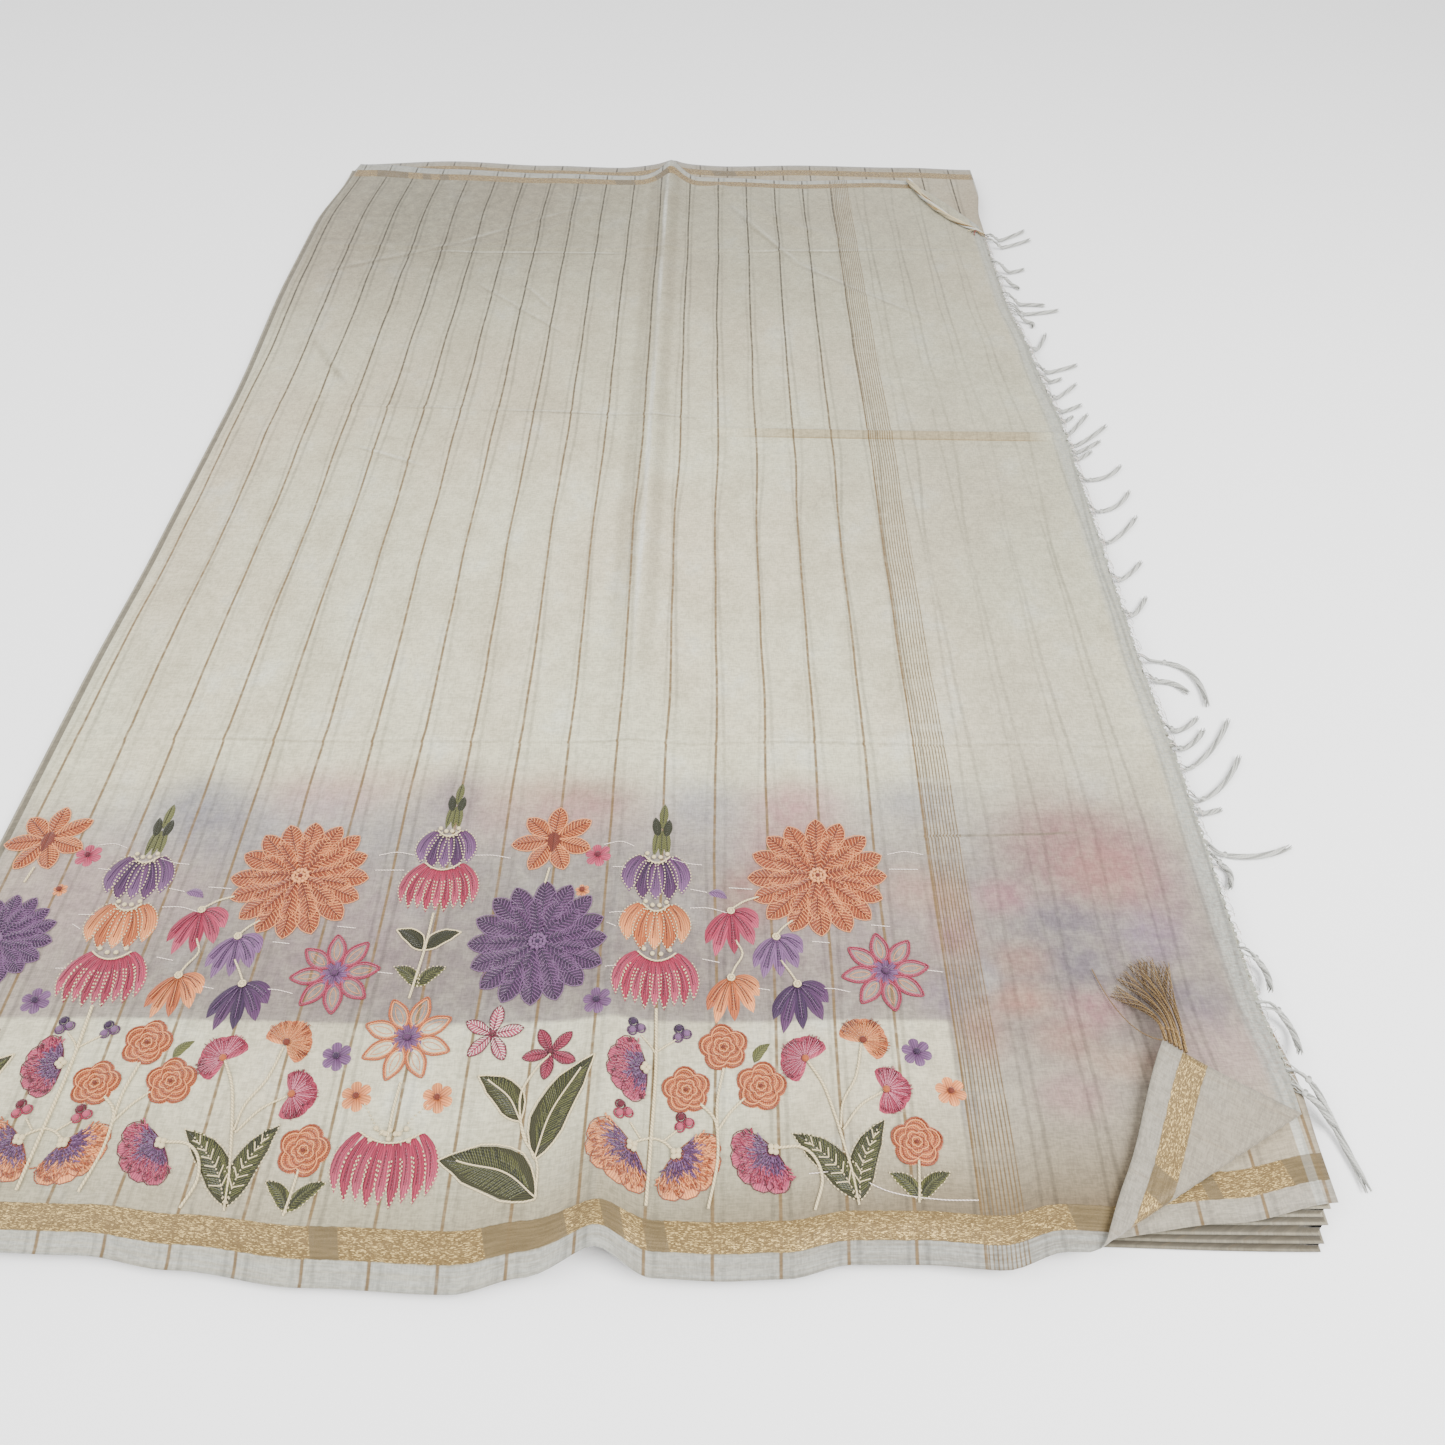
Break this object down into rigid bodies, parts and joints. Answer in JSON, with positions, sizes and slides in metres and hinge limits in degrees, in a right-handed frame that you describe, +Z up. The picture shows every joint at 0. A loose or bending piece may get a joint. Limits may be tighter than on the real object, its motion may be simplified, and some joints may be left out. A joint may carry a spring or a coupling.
{
  "type": "sari",
  "caption": "Sheer cream sari folded and laid flat, with a pressed middle fold, embroidered flower border, striped field, turned-up corner and knotted fringe.",
  "frame": {"origin": "on the surface it rests on, below the middle of the folded cloth", "axes": "+Z up from the surface, +Y along the folded cloth from its embroidered near border to its far border, +X towards the free end and its fringe"},
  "size_m": [0.7482, 1.1522, 0.026],
  "materials": {
    "hidden_cloth": "sheer slubbed weave, matt",
    "second_cloth": "sheer slubbed weave, matt",
    "upper_cloth": "sheer slubbed weave with a soft sheen",
    "fringe_thread": "matt knotted thread",
    "gold_thread": "metallic thread",
    "twisted_cloth": "sheer slubbed weave, twisted"
  },
  "bodies": {
    "root": {"hidden_layers": "hidden_cloth", "second_stretch": "second_cloth", "top_stretch": "upper_cloth", "free_end_fringe": "fringe_thread", "corner_threads": "gold_thread", "twisted_corner": "twisted_cloth"}
  },
  "joints": []
}
